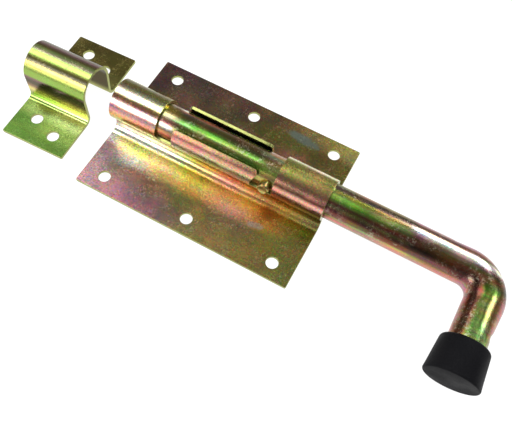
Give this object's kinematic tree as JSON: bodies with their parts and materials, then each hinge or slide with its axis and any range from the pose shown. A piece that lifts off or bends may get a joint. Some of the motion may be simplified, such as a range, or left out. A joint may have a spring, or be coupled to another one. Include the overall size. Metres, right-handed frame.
{
  "type": "sliding bolt latch",
  "caption": "Barrel bolt latch: a bent round bolt with a stop pin and rubber grip turns in a formed, notched base plate; separate formed keeper.",
  "frame": {"origin": "middle of the underside of the whole latch, on the face that the plate and the keeper are screwed to", "axes": "+X along the bolt toward the handle, +Y toward the rear flange (away from the handle's arm), +Z away from the mounting face"},
  "size_m": [0.2962, 0.1078, 0.0321],
  "materials": {
    "plated_steel": "iridescent yellow zinc plating, worn satin",
    "black_rubber": "matte moulded rubber"
  },
  "bodies": {
    "base": {"base_plate": "plated_steel", "keeper": "plated_steel"},
    "bolt": {"bolt_rod": "plated_steel", "stop_pin": "plated_steel", "end_cap": "black_rubber"}
  },
  "joints": [
    {"name": "bolt_turn", "type": "hinge", "parent": "base", "child": "bolt", "pos_m": [0, 0.00487, 0.0201], "axis": [-1, 0, 0], "range_deg": [0, 165]}
  ]
}
